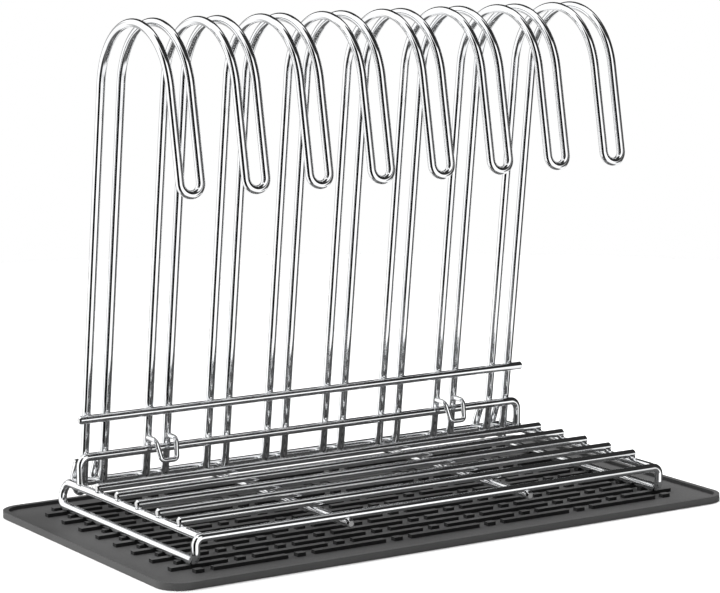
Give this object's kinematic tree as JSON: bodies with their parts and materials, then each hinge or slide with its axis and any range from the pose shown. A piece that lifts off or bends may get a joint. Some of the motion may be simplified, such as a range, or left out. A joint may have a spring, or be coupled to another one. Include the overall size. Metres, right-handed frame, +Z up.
{
  "type": "mug tree",
  "caption": "Countertop wire mug tree: a raised rack on a ribbed drip mat, with a tilting rear panel of tall hairpin hooks.",
  "frame": {"origin": "middle of the drip mat's underside, on the table", "axes": "+Z up, -Y the front that the hooks reach towards, +X to the right along the mat's length"},
  "size_m": [0.4, 0.224, 0.3104],
  "materials": {
    "wire": "polished",
    "mat": "matte"
  },
  "bodies": {
    "mat": {"drip_mat": "mat"},
    "rack": {"base_frame": "wire", "rear_bar": "wire", "cross_bar_1": "wire", "cross_bar_2": "wire", "cross_bar_3": "wire", "cross_bar_4": "wire", "cross_bar_5": "wire", "support_wire_left": "wire", "support_wire_right": "wire", "upstand": "wire"},
    "hook_panel": {"hook_1": "wire", "hook_2": "wire", "hook_3": "wire", "hook_4": "wire", "hook_5": "wire", "hook_6": "wire", "hook_7": "wire", "hook_8": "wire", "panel_bar": "wire", "clip_left": "wire", "clip_right": "wire"}
  },
  "joints": [
    {"name": "rack_lift", "type": "slide", "parent": "mat", "child": "rack", "axis": [0, 0, 1], "range_m": [0, 0.06]},
    {"name": "panel_tilt", "type": "hinge", "parent": "rack", "child": "hook_panel", "pos_m": [0, 0.08125, 0.0207], "axis": [-1, 0, 0], "range_deg": [0, 90]}
  ]
}
